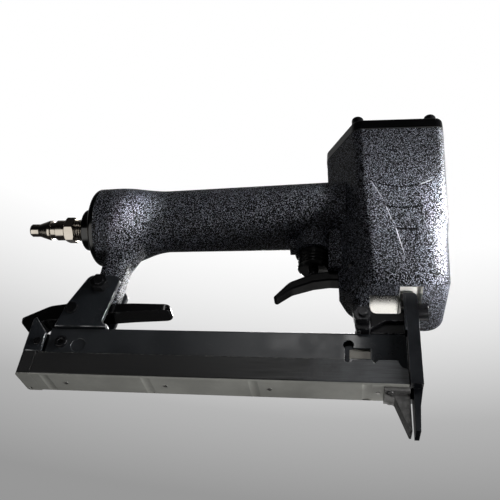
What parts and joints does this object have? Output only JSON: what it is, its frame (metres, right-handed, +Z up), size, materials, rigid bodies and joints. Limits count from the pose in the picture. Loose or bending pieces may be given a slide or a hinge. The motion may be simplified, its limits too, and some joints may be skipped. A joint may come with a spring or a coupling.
{
  "type": "pneumatic stapler",
  "caption": "Hand-held pneumatic upholstery stapler with a black cast head and handle, air plug, finger trigger, slide-back magazine and narrow nose.",
  "frame": {"origin": "middle of the flat tip of the nose, where the tool meets the work", "axes": "+X forward along the magazine, +Y to the tool's left, +Z up along the piston's stroke"},
  "size_m": [0.2297, 0.051, 0.1749],
  "materials": {
    "black_coat": "black wrinkle powder coat on cast aluminium",
    "gloss_black": "smooth gloss black paint on cast aluminium",
    "latch_black": "gloss black paint on steel",
    "blue_black": "satin blue-black paint on pressed steel",
    "dark_steel": "blued steel",
    "black_screws": "black oxide",
    "bare_steel": "bare steel",
    "nickel": "nickel plate",
    "bare_aluminium": "machined",
    "rubber_seal": "moulded rubber",
    "bumper_rubber": "urethane",
    "spring_wire": "spring wire"
  },
  "bodies": {
    "frame": {"housing": "black_coat", "cylinder_cap": "gloss_black", "handle_end_cap": "gloss_black", "inlet_bushing": "gloss_black", "valve_body": "gloss_black", "fixed_rail": "blue_black", "rear_bracket": "blue_black", "rail_saddle": "blue_black", "nose_bracket": "blue_black", "front_block": "blue_black", "nose_bar": "dark_steel", "driver_guide": "dark_steel", "nose_dowel": "dark_steel", "cap_screws": "black_screws", "nose_screw": "black_screws", "saddle_bolt": "black_screws", "saddle_nut": "black_screws", "bracket_bolt": "black_screws", "bracket_nut": "black_screws", "latch_pin": "black_screws", "trigger_pin": "black_screws", "rail_screws": "black_screws", "rail_rivets": "black_screws", "air_plug": "nickel", "cylinder_sleeve": "bare_aluminium", "cap_gasket": "rubber_seal", "sleeve_seals": "rubber_seal", "end_cap_seal": "rubber_seal", "valve_seals": "rubber_seal", "bumper": "bumper_rubber", "head_valve_spring": "spring_wire", "valve_spring": "spring_wire", "latch_spring": "spring_wire"},
    "head_valve": {"head_valve": "bare_aluminium", "head_valve_seals": "rubber_seal"},
    "piston": {"piston": "bare_aluminium", "piston_ring": "rubber_seal", "driver_blade": "bare_steel"},
    "trigger": {"trigger": "gloss_black"},
    "valve_stem": {"valve_stem": "bare_steel"},
    "latch": {"latch_lever": "latch_black"},
    "magazine": {"magazine_cover": "blue_black", "staple_core": "bare_steel", "core_rivets": "bare_steel", "magazine_end": "blue_black", "magazine_catch": "blue_black", "catch_rivets": "black_screws", "staple_guide": "bare_steel", "guide_rivets": "bare_steel", "spring_rod": "bare_steel", "pusher_spring": "spring_wire"},
    "pusher": {"pusher": "bare_steel"}
  },
  "joints": [
    {"name": "trigger_squeeze", "type": "hinge", "parent": "frame", "child": "trigger", "pos_m": [-0.0275, 0, 0.0794], "axis": [0, 1, 0], "range_deg": [0, 10], "stiffness_Nm_per_rad": 0.3, "springref_deg": -11.46},
    {"name": "valve_lift", "type": "slide", "parent": "frame", "child": "valve_stem", "axis": [0, 0, 1], "range_m": [0, 0.0036], "deforming": ["valve_spring"]},
    {"name": "head_valve_lift", "type": "slide", "parent": "frame", "child": "head_valve", "axis": [0, 0, 1], "range_m": [0, 0.003], "stiffness_N_per_m": 600, "springref_m": -0.004, "deforming": ["head_valve_spring"]},
    {"name": "drive_stroke", "type": "slide", "parent": "frame", "child": "piston", "axis": [0, 0, -1], "range_m": [0, 0.045]},
    {"name": "latch_swing", "type": "hinge", "parent": "frame", "child": "latch", "pos_m": [-0.1653, 0, 0.0552], "axis": [0, 1, 0], "range_deg": [0, 10], "stiffness_Nm_per_rad": 0.4, "springref_deg": -11.46},
    {"name": "magazine_slide", "type": "slide", "parent": "frame", "child": "magazine", "axis": [-1, 0, 0], "range_m": [0, 0.11]},
    {"name": "pusher_slide", "type": "slide", "parent": "magazine", "child": "pusher", "axis": [-1, 0, 0], "range_m": [0, 0.11], "stiffness_N_per_m": 40, "springref_m": -0.05, "deforming": ["pusher_spring"]}
  ],
  "couplings": [
    {"joint": "valve_lift", "follows": "trigger_squeeze", "m_per_rad": 0.0205}
  ]
}
